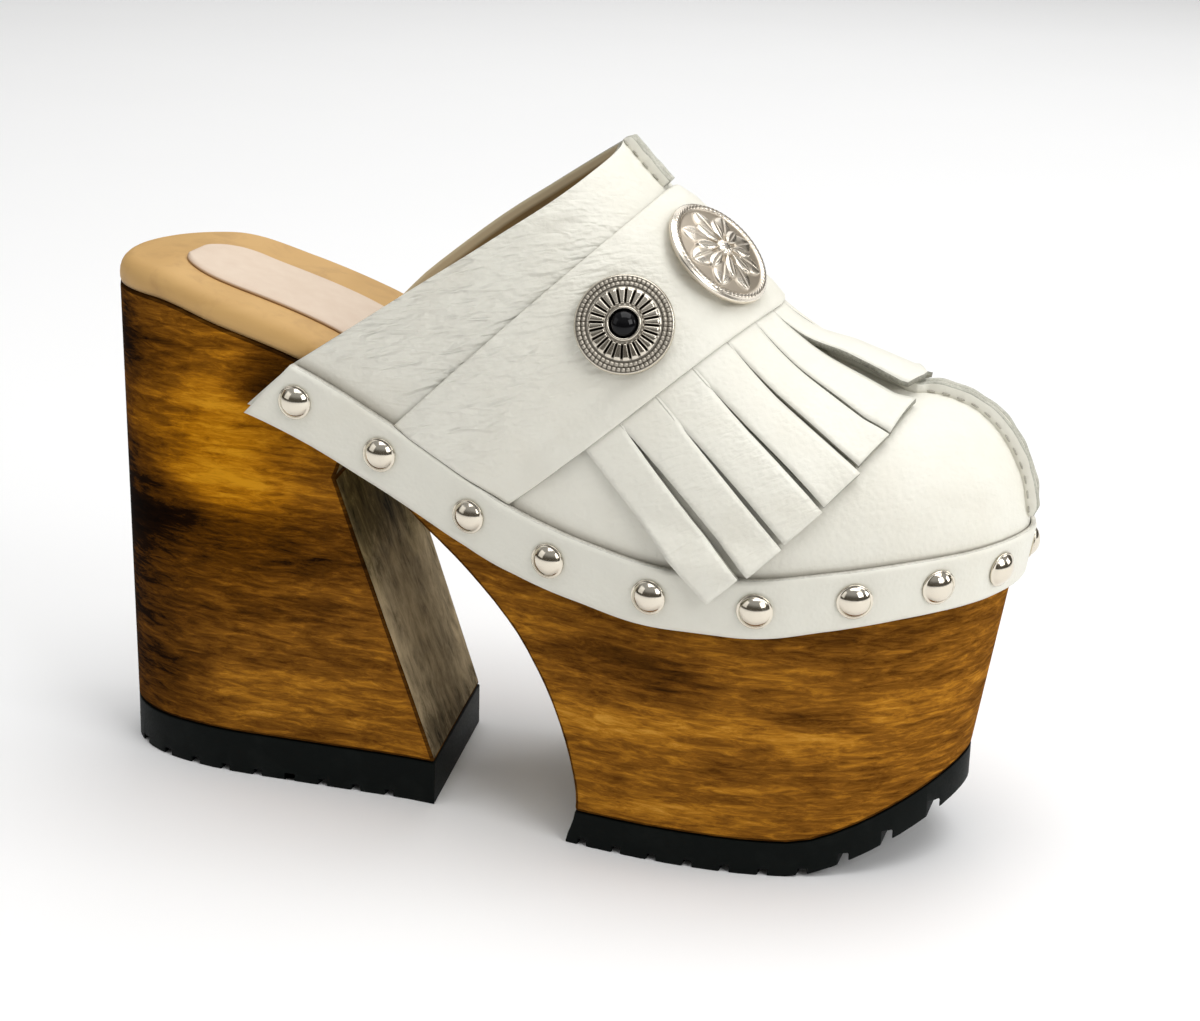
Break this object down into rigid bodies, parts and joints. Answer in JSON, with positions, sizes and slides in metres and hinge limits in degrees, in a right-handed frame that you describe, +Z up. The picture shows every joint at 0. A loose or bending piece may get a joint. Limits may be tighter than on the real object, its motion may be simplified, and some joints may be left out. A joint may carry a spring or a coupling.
{
  "type": "platform clog",
  "caption": "Backless platform clog: carved wooden sole with block heel, open arch and rubber treads, hollow leather upper, nailed band, instep strap with conchos and cut fringe.",
  "frame": {"origin": "middle of the box's footprint, on the floor under the sole", "axes": "+X to the toe, +Y to the wearer's left (the inner side of this right shoe), +Z up"},
  "size_m": [0.2352, 0.0976, 0.1672],
  "materials": {
    "wood": "stained and lacquered",
    "pale_wood": "satin",
    "pale_leather": "matt",
    "rubber": "matt",
    "white_leather": "satin, fine grain",
    "nickel": "polished",
    "silver": "antiqued",
    "black_stone": "polished"
  },
  "bodies": {
    "root": {"sole_wood": "wood", "outsole_heel": "rubber", "outsole_forefoot": "rubber", "footbed": "pale_wood", "heel_label": "pale_leather", "upper": "white_leather", "welt_band": "white_leather", "concho_strap": "white_leather", "fringe": "white_leather", "concho_front": "silver", "concho_lateral": "silver", "concho_medial": "silver", "stone_lateral": "black_stone", "stone_medial": "black_stone", "stud_lateral_1": "nickel", "stud_lateral_2": "nickel", "stud_lateral_3": "nickel", "stud_lateral_4": "nickel", "stud_lateral_5": "nickel", "stud_lateral_6": "nickel", "stud_lateral_7": "nickel", "stud_lateral_8": "nickel", "stud_lateral_9": "nickel", "stud_medial_1": "nickel", "stud_medial_2": "nickel", "stud_medial_3": "nickel", "stud_medial_4": "nickel", "stud_medial_5": "nickel", "stud_medial_6": "nickel", "stud_medial_7": "nickel", "stud_medial_8": "nickel", "stud_medial_9": "nickel"}
  },
  "joints": []
}
